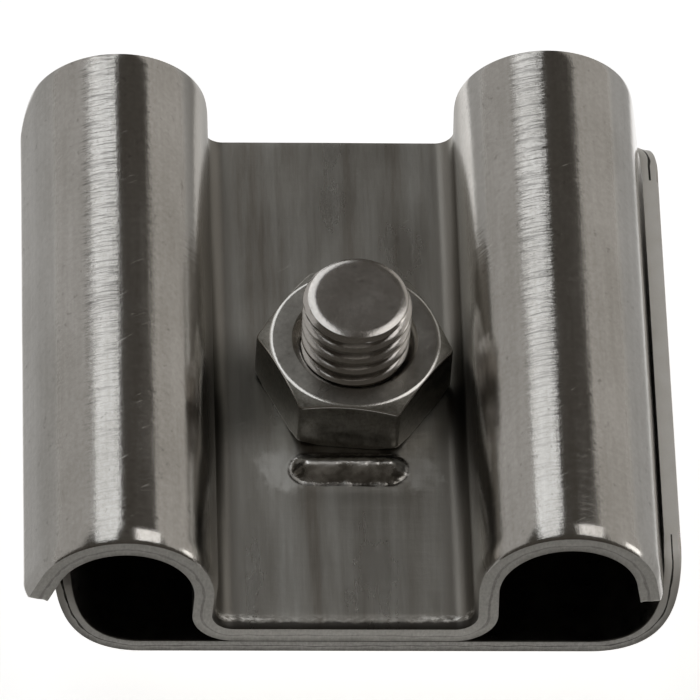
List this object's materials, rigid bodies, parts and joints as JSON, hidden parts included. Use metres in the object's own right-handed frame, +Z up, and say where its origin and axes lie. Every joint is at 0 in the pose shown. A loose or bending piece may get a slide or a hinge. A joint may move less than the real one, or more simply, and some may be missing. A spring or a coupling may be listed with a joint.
{
  "type": "wire rope clip",
  "caption": "Pressed stainless wire rope clip: a grooved cover is drawn down on a curled tray by a hexagon screw and nut, gripping parallel ropes.",
  "frame": {"origin": "centre of the screw head's underside, which the clip stands on", "axes": "+Z up along the screw axis towards the nut, Y along the rope grooves, X across them with the higher groove on +X"},
  "size_m": [0.0293, 0.0274, 0.0122],
  "materials": {
    "tray_steel": "pressed stainless sheet, lightly tumbled, sheared edges",
    "cover_steel": "pressed stainless sheet, semi-bright, fine draw marks across the grooves",
    "screw_steel": "rolled stainless thread with bright crests",
    "nut_steel": "cold formed stainless, bright chamfer edge"
  },
  "bodies": {
    "tray": {"base_tray": "tray_steel"},
    "screw": {"hex_screw": "screw_steel"},
    "cover": {"grooved_cover": "cover_steel"},
    "nut": {"hex_nut": "nut_steel"}
  },
  "joints": [
    {"name": "nut_travel", "type": "slide", "parent": "tray", "child": "nut", "axis": [0, 0, 1], "range_m": [0, 0.0028]},
    {"name": "cover_lift", "type": "slide", "parent": "tray", "child": "cover", "axis": [0, 0, 1], "range_m": [0, 0.0028]},
    {"name": "screw_turn", "type": "hinge", "parent": "tray", "child": "screw", "pos_m": [0, 0, 0.0035], "axis": [0, 0, 1], "range_deg": [-1261, 0]}
  ],
  "couplings": [
    {"joint": "screw_turn", "follows": "nut_travel", "rad_per_m": -7854},
    {"joint": "cover_lift", "follows": "nut_travel", "ratio": 1}
  ]
}
